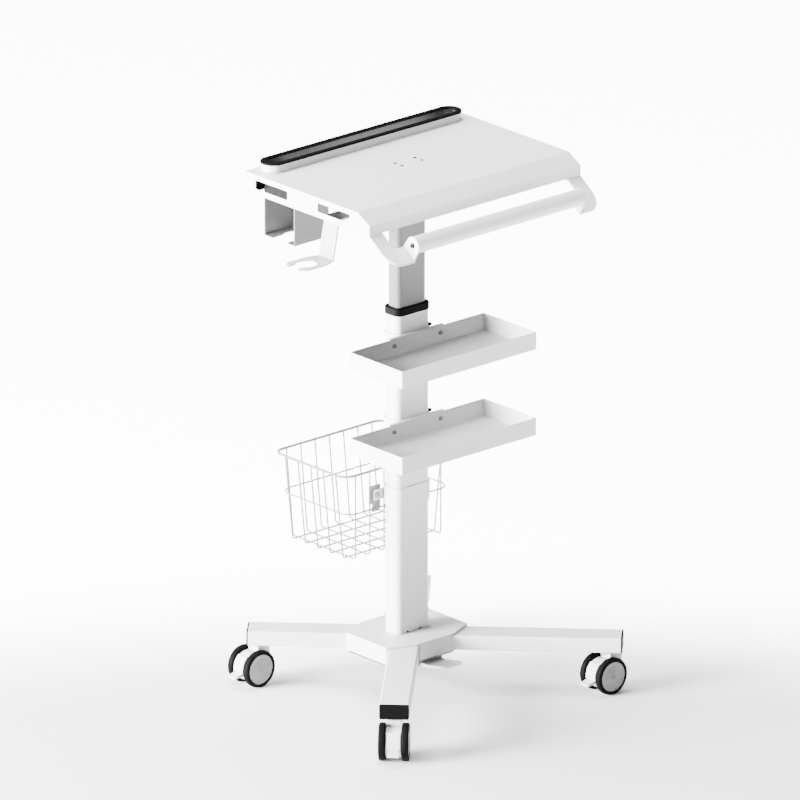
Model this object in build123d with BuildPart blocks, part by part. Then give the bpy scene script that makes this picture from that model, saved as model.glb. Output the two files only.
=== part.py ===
"""Height-adjustable mobile ultrasound trolley, millimetres, +Z up, floor at z = 0.

Every sub-part is drawn about the column's axis (x = 0, y = 0), with +Y to the rear and -Y to the
user's side. save() then moves it so that the origin is the bottom centre of the whole box.
"""
import os
from math import cos, radians, sin

from build123d import *

os.makedirs("parts", exist_ok=True)

# ---------------------------------------------------------------- driving dimensions
BOX_CENTRE = (-17.0, -50.55)     # middle of the whole box, seen from the column's axis

WHEEL_R = 37.5
WHEEL_W = 14.0
WHEEL_Y = 22.7                   # wheel centre from the caster's middle plane
CORE_R = 30.0
AXLE_R = 4.0
TRAIL = 20.0
SWIVEL_PIN_R = 5.0
FIT = 0.05                       # radial running clearance
SEAT = 0.1                       # gap between parts that sit on each other
SLIDE_GAP = 0.3                  # each side, where one section slides or sits inside another

LEG_W, LEG_H, LEG_T, LEG_R = 58.0, 30.0, 2.5, 3.0
LEG_BOTTOM = 84.0
LEG_TOP = LEG_BOTTOM + LEG_H
LEG_START = 52.0
LEG_REACH = {"front": 419.0, "rear": 309.0}
CAP_T, CAP_PLUG, CAP_WALL = 3.0, 12.0, 2.0
STEM_BACK = 20.0                 # caster stem from the tube's end
LEG_BOLT, LEG_BOLT_HOLE_R = 72.0, 3.3
STEM_LOW = 60.0
HOUSING_TOP, HOOD_R, HOOD_W = 80.0, 30.0, 29.0
LEVER_PIVOT, LEVER_TIP = (27.0, 30.0), 71.0    # pivot from the axle along the trail, and its height
LEVER_W, LEVER_BOSS_R, LEVER_PIN_R = 22.0, 5.0, 2.5
SHIELD_R, SHIELD_T, SHIELD_W = 31.5, 3.0, 26.0 # lever's cover, curved round the hood
SHIELD_LOW, SHIELD_HIGH = 10.0, 75.0          # where the cover's two ends lie, at twice its radius

HUB_X, HUB_Y, HUB_TOP, HUB_DEPTH = 106.0, 84.0, 118.0, 35.0
HUB_CUT_X, HUB_CUT_Y = 57.0, 26.0
HUB_T, HUB_EDGE_R = 3.0, 1.5
LEG_GAP = 1.2                    # between a leg and its slot in the hub's skirt
BASE_T = 6.0

COL_X, COL_Y, COL_R, COL_T = 85.0, 44.0, 12.0, 3.0
COL_TOP = 775.0
NOTCH_X, NOTCH_W, NOTCH_H = 16.5, 7.0, 4.0     # two small slots at the column's foot
COLLAR_TOP = 790.0
COLLAR_OUT, COLLAR_SLEEVE, COLLAR_EDGE_R = 1.75, 60.0, 3.0
MAST_X, MAST_Y, MAST_R, MAST_T = 74.0, 34.0, 9.0, 2.5
MAST_BOTTOM = 480.0
SPRING_R, SPRING_ROD_R, SPRING_TOP = 11.0, 5.0, 424.0
SPRING_FLOOR = 10.0
ROD_BOTTOM, CROSSHEAD_Z, CROSSHEAD_T = 364.0, 700.0, 10.0

TOP_X, TOP_BACK, TOP_FRONT = 546.0, 164.0, -199.0
TOP_Z, TOP_DEPTH, TOP_T = 1080.0, 40.0, 2.0
BEVEL_START, LIP_TOP = -165.0, 1061.0
UNDER = TOP_Z - TOP_DEPTH
RETURN_W = 18.0
WALL_SLOTS = ((86.5, 93.0), (-94.5, 93.0))     # centre y, length of each side slot
SLOT_Z, SLOT_H, CUT_R = 1060.5, 18.0, 2.0
CABLE_Y, CABLE_L, COLLAR_R = 133.5, 455.0, 23.5
COLLAR_H = 17.5
TRIM_TOP, TRIM_H = TOP_Z + 20.0, 4.0
TRIM_OUT, TRIM_IN, TRIM_EDGE_R = COLLAR_R + 1.8, COLLAR_R - 8.0, 1.4
CABLE_EXIT_X, CABLE_EXIT_W, CABLE_EXIT_H = 228.0, 50.0, 30.0
MOUNT_X, MOUNT_Y, MOUNT_T, MOUNT_R = 180.0, 120.0, 5.8, 8.0
TOP_SCREW_GRID, TOP_SCREW_MID, TOP_SCREW_R = (51.0, 20.0), -4.0, 2.5
SINK_R, SINK_TAPER = 4.4, 42.0   # countersinks for the worktop's screws

HANDLE_Y, HANDLE_Z, HANDLE_R = -261.0, 1024.5, 17.0
FLANGE_X, FLANGE_GROW = 217.0, 0.5
BRACKET_T = 4.0
HANDLE_T, HANDLE_PLUG, HANDLE_HALF = 2.5, 20.0, FLANGE_X - BRACKET_T - SEAT
BRACKET_SLOPE, BRACKET_BEND, BRACKET_LEN, BRACKET_FOOT = 35.3, -199.0, 79.0, 60.0
BRACKET_W, BRACKET_ARM = 33.0, 37.0            # strip's width; length of the turned-in arm
HANDLE_SCREW_R, CORNER_R = 3.0, 30.0

TRAY_X, TRAY_FRONT, TRAY_BACK, TRAY_H, TRAY_T = 348.0, -182.0, -29.0, 36.0, 2.0
TRAY_TOPS = {"upper": 736.5, "lower": 559.7}
TRAY_SCREW_X, TRAY_SCREW_DROP = 60.0, 14.0
TRAY_EDGE_R = 1.5
CLAMP_GAP, CLAMP_T, CLAMP_H = 0.8, 2.5, 32.0
CLAMP_RISE = 1.5                 # tray clamp above the tray's rim
EAR_X = 70.0
PAD_X, PAD_Y, PAD_H, PAD_R = 4.2, 8.0, 5.0, 1.5
PAD_AT = -17.0
SCREW_HOLE_R = 2.2

BASKET_X, BASKET_Y, BASKET_R = 284.0, 211.0, 25.0
BASKET_MID_X, BASKET_FRONT = 3.0, 25.0
BASKET_MID_Y = BASKET_FRONT + BASKET_Y / 2
BASKET_TOP, BASKET_BOTTOM = 453.0, 280.0
BASKET_MID_Z = 373.0
BASKET_TAPER = 19.0              # left, right and rear, rim to floor; the front is upright
WIRE_R, RIM_R = 1.6, 2.5
WIRE_STEP = 37.0
WELD = 0.2                       # how deep the wires' welds sink in
WIRE_IN = RIM_R + WIRE_R - WELD  # side wires run just inside the rings
LONG_WIRES, CROSS_WIRES = range(-3, 4), range(-2, 3)
CLAMP_Z, BASKET_CLAMP_H = 401.0, 38.0
CLAMP_HOLE_R = 3.1
EAR_W, EAR_H, EAR_OVER, EAR_R = 20.0, 22.0, 14.0, 3.0    # bolt tab, and its overlap with the band
EAR_BOLT = 14.0                  # the tab's bolt from the column's side
HANGER_X, HANGER_TOP = (-75.0, -46.8), 421.0
HANGER_T, HANGER_LIP = 1.8, 9.0
HANGER_Y_CUT = 30.0              # notch that clears the nearest basket wire

PEDAL_W, PEDAL_TIP, PEDAL_T = 50.0, -140.0, 5.0
PEDAL_PIVOT = (-62.0, 68.0)
PEDAL_PIN_R, PEDAL_BOSS_R = 4.0, 6.5
PEDAL_BACK, PEDAL_FLAT, PEDAL_TIP_R = 12.0, 24.0, 10.0   # behind and in front of its pivot
PEDAL_LUG_T, PEDAL_LUG_R, PEDAL_LUG_GAP = 2.5, 7.0, 3.25
PEDAL_FOOT_Y = 24.0
PEDAL_RISE = 8.0

HOLDER_X, HOLDER_Y, HOLDER_BOTTOM = (-250.0, -162.0), (45.0, 134.0), 951.0
HOLDER_T, HOLDER_HOLE_R, HOLDER_MOUTH = 2.0, 27.0, 43.0
HOLDER_TAB_X, HOLDER_TAB_Y, HOLDER_TAB_IN = 60.0, 18.0, 1.0
FORK_Y, FORK_W, FORK_Z, FORK_T = -66.0, 60.0, 961.0, 3.0
FORK_ROOT, FORK_TIP = -268.0, -353.0
FORK_HOLE_R, FORK_HOLE_X, FORK_MOUTH = 21.0, -318.0, 26.0
STRAP_X, STRAP_W, STRAP_FOOT = -252.0, 41.0, 40.0
FORK_NECK, FORK_CUT, FORK_OVER = 22.0, 12.0, 2.0

# screws: head radius, head height, shank radius, shank length
HEAD_TAPER, SOCKET_SHARE, SOCKET_DEPTH = 25.0, 0.38, 0.6
TRAY_SCREW = (5.0, 3.0, 2.15, 7.0)
CLAMP_SCREW = (6.0, 3.5, 3.05, 12.0)
LEG_SCREW = (5.5, 3.0, 3.2, 16.0)
HANDLE_SCREW = (6.0, 3.4, HANDLE_SCREW_R, 16.0)
SINK_SCREW_H, SINK_GAP = 1.9, 0.15


def save(builder, name):
    """Label one finished sub-part and write it, moved into the part's own frame."""
    placed = builder.part.moved(Location((-BOX_CENTRE[0], -BOX_CENTRE[1], 0)))
    placed.label = name
    export_step(placed, f"parts/{name}.step")


# ---------------------------------------------------------------- base
def hub_outline(grow):
    """Octagon of the hub cover: a rectangle with its four corners cut."""
    x, y = HUB_X + grow, HUB_Y + grow
    with BuildLine() as line:
        Polyline(
            (-x, y - HUB_CUT_Y), (-x, -y + HUB_CUT_Y), (-x + HUB_CUT_X, -y), (x - HUB_CUT_X, -y),
            (x, -y + HUB_CUT_Y), (x, y - HUB_CUT_Y), (x - HUB_CUT_X, y), (-x + HUB_CUT_X, y),
            close=True,
        )
    return line.line


LEGS = {
    "front_left": (-135.0, LEG_REACH["front"]),
    "front_right": (-45.0, LEG_REACH["front"]),
    "rear_left": (135.0, LEG_REACH["rear"]),
    "rear_right": (45.0, LEG_REACH["rear"]),
}
TRAIL_ANGLE = {"front_left": -135.0, "front_right": 180.0, "rear_left": 180.0, "rear_right": 180.0}


def leg_plane(angle):
    """Plane at the leg's underside, its x axis out along the leg."""
    return Plane(origin=(0, 0, LEG_BOTTOM), x_dir=(cos(radians(angle)), sin(radians(angle)), 0))


def stem_point(leg):
    """Centre of the caster's stem, on the floor."""
    angle, reach = LEGS[leg]
    out = reach - STEM_BACK
    return out * cos(radians(angle)), out * sin(radians(angle))


with BuildPart() as hub_cover:
    with BuildSketch(Plane.XY.offset(HUB_TOP)):
        make_face(hub_outline(0))
    extrude(amount=-HUB_DEPTH)
    fillet(hub_cover.edges().group_by(Axis.Z)[-1], HUB_EDGE_R)
    with BuildSketch(Plane.XY.offset(HUB_TOP - HUB_T)):
        make_face(hub_outline(-HUB_T))
    extrude(amount=-HUB_DEPTH, mode=Mode.SUBTRACT)
    with BuildSketch(Plane.XY.offset(HUB_TOP)):
        RectangleRounded(COL_X + 2 * SLIDE_GAP, COL_Y + 2 * SLIDE_GAP, COL_R + SLIDE_GAP)
    extrude(amount=-HUB_T, mode=Mode.SUBTRACT)
    for angle, reach in LEGS.values():
        with BuildSketch(leg_plane(angle).offset(-HUB_DEPTH)):
            with Locations((reach / 2, 0)):
                Rectangle(reach, LEG_W + 2 * LEG_GAP)
        extrude(amount=HUB_DEPTH + LEG_H + SLIDE_GAP, mode=Mode.SUBTRACT)
save(hub_cover, "hub_cover")

with BuildPart() as base_plate:
    with BuildSketch(Plane.XY.offset(LEG_BOTTOM - SEAT)):
        make_face(hub_outline(-HUB_T - SLIDE_GAP))
        for angle, reach in LEGS.values():
            with PolarLocations(LEG_BOLT, 1, start_angle=angle):
                Circle(LEG_BOLT_HOLE_R, mode=Mode.SUBTRACT)
    extrude(amount=-BASE_T)
save(base_plate, "base_plate")

for leg, (angle, reach) in LEGS.items():
    run = leg_plane(angle)
    with BuildPart() as tube:
        with BuildSketch(run):
            with Locations(((LEG_START + reach) / 2, 0)):
                Rectangle(reach - LEG_START, LEG_W)
        extrude(amount=LEG_H)
        fillet(tube.edges().filter_by(lambda e: abs(e.length - (reach - LEG_START)) < SEAT), LEG_R)
        with BuildSketch(run.offset(LEG_T)):
            with Locations(((LEG_START + reach) / 2, 0)):
                Rectangle(reach - LEG_START, LEG_W - 2 * LEG_T)
        extrude(amount=LEG_H - 2 * LEG_T, mode=Mode.SUBTRACT)
        with BuildSketch(run):
            with Locations((reach - STEM_BACK, 0)):
                Circle(SWIVEL_PIN_R + FIT)
            with Locations((LEG_BOLT, 0)):
                Circle(LEG_BOLT_HOLE_R)
        extrude(amount=LEG_T, mode=Mode.SUBTRACT)
    save(tube, f"leg_{leg}")

with BuildPart() as leg_end_caps:
    for angle, reach in LEGS.values():
        end = Plane(
            origin=(reach * cos(radians(angle)), reach * sin(radians(angle)), LEG_BOTTOM + LEG_H / 2),
            x_dir=(-sin(radians(angle)), cos(radians(angle)), 0),
            z_dir=(cos(radians(angle)), sin(radians(angle)), 0),
        )
        with BuildSketch(end.offset(FIT)):
            RectangleRounded(LEG_W, LEG_H, LEG_R)
        extrude(amount=CAP_T)
        plug_w, plug_h = LEG_W - 2 * (LEG_T + SEAT), LEG_H - 2 * (LEG_T + SEAT)
        with BuildSketch(end.offset(FIT)):
            Rectangle(plug_w, plug_h)
            Rectangle(plug_w - 2 * CAP_WALL, plug_h - 2 * CAP_WALL, mode=Mode.SUBTRACT)
        extrude(amount=-CAP_PLUG)
save(leg_end_caps, "leg_end_caps")

# ---------------------------------------------------------------- lifting column
with BuildPart() as outer_column:
    with BuildSketch(Plane.XY.offset(LEG_BOTTOM)):
        RectangleRounded(COL_X, COL_Y, COL_R)
        RectangleRounded(COL_X - 2 * COL_T, COL_Y - 2 * COL_T, COL_R - COL_T, mode=Mode.SUBTRACT)
    extrude(amount=COL_TOP - LEG_BOTTOM)
    with BuildSketch(Plane.XZ.offset(COL_Y / 2)):
        with Locations((-NOTCH_X, HUB_TOP + NOTCH_H / 2 + 0.5), (NOTCH_X, HUB_TOP + NOTCH_H / 2 + 0.5)):
            RectangleRounded(NOTCH_W, NOTCH_H, 1)
    extrude(amount=-COL_T, mode=Mode.SUBTRACT)
save(outer_column, "outer_column")

mast_bore = (MAST_X + 2 * SLIDE_GAP, MAST_Y + 2 * SLIDE_GAP, MAST_R + SLIDE_GAP)
with BuildPart() as column_collar:
    with BuildSketch(Plane.XY.offset(COL_TOP)):
        RectangleRounded(COL_X + 2 * COLLAR_OUT, COL_Y + 2 * COLLAR_OUT, COL_R + COLLAR_OUT)
        RectangleRounded(*mast_bore, mode=Mode.SUBTRACT)
    extrude(amount=COLLAR_TOP - COL_TOP)
    fillet(column_collar.faces().sort_by(Axis.Z)[-1].outer_wire().edges(), COLLAR_EDGE_R)
    sleeve_in = COL_T + SLIDE_GAP
    with BuildSketch(Plane.XY.offset(COL_TOP)):
        RectangleRounded(COL_X - 2 * sleeve_in, COL_Y - 2 * sleeve_in, COL_R - sleeve_in)
        RectangleRounded(*mast_bore, mode=Mode.SUBTRACT)
    extrude(amount=-COLLAR_SLEEVE)
save(column_collar, "column_collar")

with BuildPart() as gas_spring_cylinder:
    with BuildSketch(Plane.XY.offset(LEG_BOTTOM)):
        Circle(SPRING_R)
    extrude(amount=SPRING_TOP - LEG_BOTTOM)
    with BuildSketch(Plane.XY.offset(LEG_BOTTOM + SPRING_FLOOR)):
        Circle(SPRING_ROD_R + FIT)
    extrude(amount=SPRING_TOP, mode=Mode.SUBTRACT)
save(gas_spring_cylinder, "gas_spring_cylinder")

# ---------------------------------------------------------------- trays
for level, top in TRAY_TOPS.items():
    depth = TRAY_BACK - TRAY_FRONT
    middle = (TRAY_BACK + TRAY_FRONT) / 2
    with BuildPart() as tray:
        with BuildSketch(Plane.XY.offset(top - TRAY_H)):
            with Locations((0, middle)):
                Rectangle(TRAY_X, depth)
        extrude(amount=TRAY_H)
        fillet(tray.edges().group_by(Axis.Z)[0], TRAY_EDGE_R)
        with BuildSketch(Plane.XY.offset(top - TRAY_H + TRAY_T)):
            with Locations((0, middle)):
                Rectangle(TRAY_X - 2 * TRAY_T, depth - 2 * TRAY_T)
        extrude(amount=TRAY_H, mode=Mode.SUBTRACT)
        with BuildSketch(Plane.XZ.offset(-TRAY_BACK)):
            with Locations((-TRAY_SCREW_X, top - TRAY_SCREW_DROP), (TRAY_SCREW_X, top - TRAY_SCREW_DROP)):
                Circle(SCREW_HOLE_R)
        extrude(amount=TRAY_T, mode=Mode.SUBTRACT)
    save(tray, f"tray_{level}")


def clamp_band(low_z, height):
    """Add a sheet band that wraps the column with a thin even gap, for its lining."""
    grow = CLAMP_GAP + CLAMP_T
    with BuildSketch(Plane.XY.offset(low_z)) as band:
        RectangleRounded(COL_X + 2 * grow, COL_Y + 2 * grow, COL_R + grow)
        RectangleRounded(COL_X + 2 * CLAMP_GAP, COL_Y + 2 * CLAMP_GAP, COL_R + CLAMP_GAP, mode=Mode.SUBTRACT)
    extrude(band.sketch, amount=height)


with BuildPart() as tray_clamps:
    for top in TRAY_TOPS.values():
        clamp_band(top + CLAMP_RISE - CLAMP_H, CLAMP_H)
        with BuildSketch(Plane.XZ.offset(-(TRAY_BACK + SEAT))):
            with Locations((0, top + CLAMP_RISE - CLAMP_H / 2)):
                Rectangle(2 * EAR_X, CLAMP_H)
            with Locations((-TRAY_SCREW_X, top - TRAY_SCREW_DROP), (TRAY_SCREW_X, top - TRAY_SCREW_DROP)):
                Circle(SCREW_HOLE_R, mode=Mode.SUBTRACT)
        extrude(amount=TRAY_BACK + SEAT + COL_Y / 2 + CLAMP_GAP)
save(tray_clamps, "tray_clamps")

with BuildPart() as clamp_pads:
    for top in TRAY_TOPS.values():
        with BuildSketch(Plane.XY.offset(top + CLAMP_RISE + SEAT)):
            with Locations((COL_X / 2 + PAD_X / 2 + SLIDE_GAP, PAD_AT)):
                RectangleRounded(PAD_X, PAD_Y, PAD_R)
        extrude(amount=PAD_H)
save(clamp_pads, "clamp_pads")

# ---------------------------------------------------------------- wire basket
def basket_frame(z):
    """Half the width, and the rear, of the wire basket at a height."""
    inset = BASKET_TAPER * (BASKET_TOP - z) / (BASKET_TOP - BASKET_BOTTOM)
    return BASKET_X / 2 - inset, BASKET_FRONT + BASKET_Y - inset


def ring_path(z, inset):
    """Level rectangle with round corners, for a ring of wire."""
    half, rear = basket_frame(z)
    with BuildSketch(Plane.XY.offset(z), mode=Mode.PRIVATE) as outline:
        with Locations((BASKET_MID_X, (BASKET_FRONT + rear) / 2)):
            RectangleRounded(2 * (half - inset), rear - BASKET_FRONT - 2 * inset, BASKET_R - inset)
    return outline.sketch.face().outer_wire()


def rod(start, end, radius):
    """Straight round rod between two points, added to the open part."""
    run = Vector(*end) - Vector(*start)
    with BuildSketch(Plane(start, z_dir=run)) as section:
        Circle(radius)
    extrude(section.sketch, amount=run.length)


RINGS = ((BASKET_TOP, RIM_R), (BASKET_MID_Z, WIRE_R))
with BuildPart() as basket_rings:
    for ring_z, wire in RINGS:
        path = ring_path(ring_z, RIM_R - wire)
        with BuildSketch(Plane(path @ 0, z_dir=path % 0)) as section:
            Circle(wire)
        sweep(section.sketch, path=path)
save(basket_rings, "basket_rings")

front_y = BASKET_FRONT + WIRE_IN
top_x, top_rear = [reach - WIRE_IN for reach in basket_frame(BASKET_TOP)]
low_x, low_rear = [reach - WIRE_IN for reach in basket_frame(BASKET_BOTTOM)]
FLOOR_Z = BASKET_BOTTOM - WIRE_R
CROSS_Z = FLOOR_Z - 2 * WIRE_R + WELD
with BuildPart() as basket_side_wires:
    for i in LONG_WIRES:
        x = BASKET_MID_X + i * WIRE_STEP
        rod((x, front_y, BASKET_TOP), (x, front_y, FLOOR_Z), WIRE_R)
        rod((x, top_rear, BASKET_TOP), (x, low_rear, FLOOR_Z), WIRE_R)
    for i in CROSS_WIRES:
        y = BASKET_MID_Y + i * WIRE_STEP
        for side in (-1, 1):
            rod((BASKET_MID_X + side * top_x, y, BASKET_TOP), (BASKET_MID_X + side * low_x, y, CROSS_Z), WIRE_R)
save(basket_side_wires, "basket_side_wires")

with BuildPart() as basket_floor_wires:
    for i in LONG_WIRES:
        x = BASKET_MID_X + i * WIRE_STEP
        rod((x, front_y, FLOOR_Z), (x, low_rear, FLOOR_Z), WIRE_R)
    for i in CROSS_WIRES:
        y = BASKET_MID_Y + i * WIRE_STEP
        rod((BASKET_MID_X - low_x, y, CROSS_Z), (BASKET_MID_X + low_x, y, CROSS_Z), WIRE_R)
save(basket_floor_wires, "basket_floor_wires")

EAR_BACK = COL_Y / 2 + CLAMP_GAP + CLAMP_T
CLAMP_BOLT_X = -(COL_X / 2 + EAR_BOLT)
with BuildPart() as basket_clamp:
    clamp_band(CLAMP_Z - BASKET_CLAMP_H / 2, BASKET_CLAMP_H)
    with BuildSketch(Plane.XZ.offset(-EAR_BACK)):
        with Locations((CLAMP_BOLT_X + EAR_OVER / 2, CLAMP_Z)):
            RectangleRounded(EAR_W + EAR_OVER, EAR_H, EAR_R)
        with Locations((CLAMP_BOLT_X, CLAMP_Z)):
            Circle(CLAMP_HOLE_R, mode=Mode.SUBTRACT)
    extrude(amount=CLAMP_T)
save(basket_clamp, "basket_clamp")

# Steel hanger: a plate bolted behind the clamp's ear, with an arm that hooks over the basket's middle ring.
hook_y = BASKET_FRONT + RIM_R - WIRE_R
arm_z = BASKET_MID_Z + WIRE_R + SEAT
lip_y = hook_y + WIRE_R + SEAT
hanger_x0, hanger_x1 = HANGER_X
hanger_front = EAR_BACK + SEAT
with BuildPart() as basket_bracket:
    with BuildSketch(Plane.YZ.offset(hanger_x0)):
        with BuildLine():
            Polyline((hanger_front, HANGER_TOP), (hanger_front, arm_z), (lip_y, arm_z),
                     (lip_y, arm_z - HANGER_LIP), (lip_y + HANGER_T, arm_z - HANGER_LIP),
                     (lip_y + HANGER_T, arm_z + HANGER_T), (hanger_front + HANGER_T, arm_z + HANGER_T),
                     (hanger_front + HANGER_T, HANGER_TOP), close=True)
        make_face()
    extrude(amount=hanger_x1 - hanger_x0)
    with BuildSketch(Plane.XY.offset(arm_z - HANGER_LIP)):
        with Locations((hanger_x0, hook_y)):
            Rectangle(2 * HANGER_LIP, HANGER_Y_CUT)
    extrude(amount=2 * HANGER_LIP, mode=Mode.SUBTRACT)
    with BuildSketch(Plane.XZ.offset(-hanger_front)):
        with Locations((CLAMP_BOLT_X, CLAMP_Z)):
            Circle(CLAMP_HOLE_R)
    extrude(amount=-HANGER_T, mode=Mode.SUBTRACT)
save(basket_bracket, "basket_bracket")


# ---------------------------------------------------------------- screws on the frame
def screw(origin, out, sizes):
    """Button-head screw with a hexagon socket: head along one direction, shank the other way."""
    head_r, head_h, shank_r, shank = sizes
    seat = Plane(Vector(*origin) + Vector(*out) * FIT, z_dir=out)
    with BuildSketch(seat) as head:
        Circle(head_r)
    extrude(head.sketch, amount=head_h, taper=HEAD_TAPER)
    with BuildSketch(seat.offset(head_h)) as socket:
        RegularPolygon(head_r * SOCKET_SHARE, 6)
    extrude(socket.sketch, amount=-head_h * SOCKET_DEPTH, mode=Mode.SUBTRACT)
    with BuildSketch(seat) as thread:
        Circle(shank_r)
    extrude(thread.sketch, amount=-shank)


with BuildPart() as frame_screws:
    for top in TRAY_TOPS.values():
        for x in (-TRAY_SCREW_X, TRAY_SCREW_X):
            screw((x, TRAY_BACK - TRAY_T, top - TRAY_SCREW_DROP), (0, -1, 0), TRAY_SCREW)
    screw((CLAMP_BOLT_X, EAR_BACK - CLAMP_T, CLAMP_Z), (0, -1, 0), CLAMP_SCREW)
    for angle, reach in LEGS.values():
        x, y = LEG_BOLT * cos(radians(angle)), LEG_BOLT * sin(radians(angle))
        screw((x, y, LEG_BOTTOM - BASE_T - SEAT), (0, 0, -1), LEG_SCREW)
save(frame_screws, "frame_screws")

# ---------------------------------------------------------------- release pedal
pivot_y, pivot_z = PEDAL_PIVOT
lug_in = PEDAL_W / 2 + PEDAL_LUG_GAP
lug_out = lug_in + PEDAL_LUG_T
with BuildPart() as pedal_bracket:
    with BuildSketch(Plane.XY.offset(LEG_BOTTOM - BASE_T - 2 * SEAT)):
        with Locations((0, pivot_y)):
            Rectangle(2 * lug_out, PEDAL_FOOT_Y)
    extrude(amount=-PEDAL_LUG_T)
    for side in (-1, 1):
        with BuildSketch(Plane.YZ.offset(side * lug_in)):
            with Locations((pivot_y, pivot_z)):
                Circle(PEDAL_LUG_R)
            with Locations((pivot_y, (pivot_z + LEG_BOTTOM - BASE_T - PEDAL_LUG_T) / 2)):
                Rectangle(2 * PEDAL_LUG_R, LEG_BOTTOM - BASE_T - PEDAL_LUG_T - pivot_z)
        extrude(amount=side * PEDAL_LUG_T)
    with BuildSketch(Plane.YZ.offset(-lug_out)):
        with Locations((pivot_y, pivot_z)):
            Circle(PEDAL_PIN_R)
    extrude(amount=2 * lug_out)
save(pedal_bracket, "pedal_bracket")

half_t = PEDAL_T / 2
with BuildPart() as foot_pedal:
    with BuildSketch(Plane.YZ.offset(-PEDAL_W / 2)):
        with BuildLine():
            Polyline((pivot_y + PEDAL_BACK, pivot_z - half_t), (pivot_y - PEDAL_FLAT, pivot_z - half_t),
                     (PEDAL_TIP, pivot_z + PEDAL_RISE), (PEDAL_TIP, pivot_z + PEDAL_RISE + PEDAL_T),
                     (pivot_y - PEDAL_FLAT, pivot_z + half_t), (pivot_y + PEDAL_BACK, pivot_z + half_t),
                     close=True)
        make_face()
        with Locations((pivot_y, pivot_z)):
            Circle(PEDAL_BOSS_R)
    extrude(amount=PEDAL_W)
    fillet(foot_pedal.edges().filter_by(Axis.Z).group_by(Axis.Y)[0], PEDAL_TIP_R)
    with BuildSketch(Plane.YZ.offset(-PEDAL_W / 2)):
        with Locations((pivot_y, pivot_z)):
            Circle(PEDAL_PIN_R + FIT)
    extrude(amount=PEDAL_W, mode=Mode.SUBTRACT)
save(foot_pedal, "foot_pedal")

# ---------------------------------------------------------------- mast
with BuildPart() as inner_column:
    with BuildSketch(Plane.XY.offset(MAST_BOTTOM)):
        RectangleRounded(MAST_X, MAST_Y, MAST_R)
        RectangleRounded(MAST_X - 2 * MAST_T, MAST_Y - 2 * MAST_T, MAST_R - MAST_T, mode=Mode.SUBTRACT)
    extrude(amount=TOP_Z - TOP_T - MOUNT_T - 2 * SEAT - MAST_BOTTOM)
save(inner_column, "inner_column")

with BuildPart() as top_mount_plate:
    with BuildSketch(Plane.XY.offset(TOP_Z - TOP_T - SEAT)):
        RectangleRounded(MOUNT_X, MOUNT_Y, MOUNT_R)
        with Locations((0, TOP_SCREW_MID)):
            with GridLocations(*TOP_SCREW_GRID, 2, 2):
                Circle(TOP_SCREW_R + SEAT, mode=Mode.SUBTRACT)
    extrude(amount=-MOUNT_T)
save(top_mount_plate, "top_mount_plate")

with BuildPart() as gas_spring_rod:
    with BuildSketch(Plane.XY.offset(ROD_BOTTOM)):
        Circle(SPRING_ROD_R)
    extrude(amount=CROSSHEAD_Z - ROD_BOTTOM)
    with BuildSketch(Plane.XY.offset(CROSSHEAD_Z)):
        RectangleRounded(MAST_X - 2 * MAST_T - 2 * SEAT, MAST_Y - 2 * MAST_T - 2 * SEAT, MAST_R - MAST_T)
    extrude(amount=CROSSHEAD_T)
save(gas_spring_rod, "gas_spring_rod")


def top_profile(inset):
    """Side outline of the worktop, open downwards, set in by a wall's thickness."""
    drop = (TOP_Z - LIP_TOP) / (BEVEL_START - TOP_FRONT)
    lean = inset * ((1 + drop**2) ** 0.5 - 1) / drop
    front = TOP_FRONT + inset
    lip = LIP_TOP - inset * ((1 + drop**2) ** 0.5 - drop)
    floor = UNDER - inset
    with BuildLine() as line:
        Polyline((TOP_BACK - inset, floor), (TOP_BACK - inset, TOP_Z - inset),
                 (BEVEL_START + lean, TOP_Z - inset), (front, lip), (front, floor), close=True)
    return line.line


with BuildPart() as worktop:
    with BuildSketch(Plane.YZ.offset(-TOP_X / 2)):
        make_face(top_profile(0))
    extrude(amount=TOP_X)
    with BuildSketch(Plane.YZ.offset(TOP_T - TOP_X / 2)):
        make_face(top_profile(TOP_T))
    extrude(amount=TOP_X - 2 * TOP_T, mode=Mode.SUBTRACT)
    with BuildSketch(Plane.XY.offset(UNDER)):
        with Locations((0, (TOP_BACK + TOP_FRONT) / 2)):
            Rectangle(TOP_X - TOP_T, TOP_BACK - TOP_FRONT - TOP_T)
            Rectangle(TOP_X - 2 * RETURN_W, TOP_BACK - TOP_FRONT - 2 * RETURN_W, mode=Mode.SUBTRACT)
    extrude(amount=TOP_T)
    with BuildSketch(Plane.XY.offset(TOP_Z - TOP_T)):
        with Locations((0, CABLE_Y)):
            SlotCenterToCenter(CABLE_L, 2 * COLLAR_R)
    extrude(amount=COLLAR_H + TOP_T)
    with BuildSketch(Plane.XY.offset(TOP_Z - TOP_T)):
        with Locations((0, CABLE_Y)):
            SlotCenterToCenter(CABLE_L, 2 * (COLLAR_R - TOP_T))
    extrude(amount=COLLAR_H + TOP_T, mode=Mode.SUBTRACT)
    with BuildSketch(Plane.YZ.offset(-TOP_X / 2)):
        for slot_y, slot_len in WALL_SLOTS:
            with Locations((slot_y, SLOT_Z)):
                RectangleRounded(slot_len, SLOT_H, CUT_R)
    extrude(amount=TOP_T, mode=Mode.SUBTRACT)
    with BuildSketch(Plane.XZ.offset(-TOP_BACK)):
        with Locations((CABLE_EXIT_X, UNDER + TOP_DEPTH / 2)):
            RectangleRounded(CABLE_EXIT_W, CABLE_EXIT_H, CUT_R)
    extrude(amount=TOP_T, mode=Mode.SUBTRACT)
    with BuildSketch(Plane.XY.offset(TOP_Z)):
        with Locations((0, TOP_SCREW_MID)):
            with GridLocations(*TOP_SCREW_GRID, 2, 2):
                Circle(SINK_R)
    extrude(amount=-TOP_T, taper=SINK_TAPER, mode=Mode.SUBTRACT)
save(worktop, "worktop")

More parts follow.
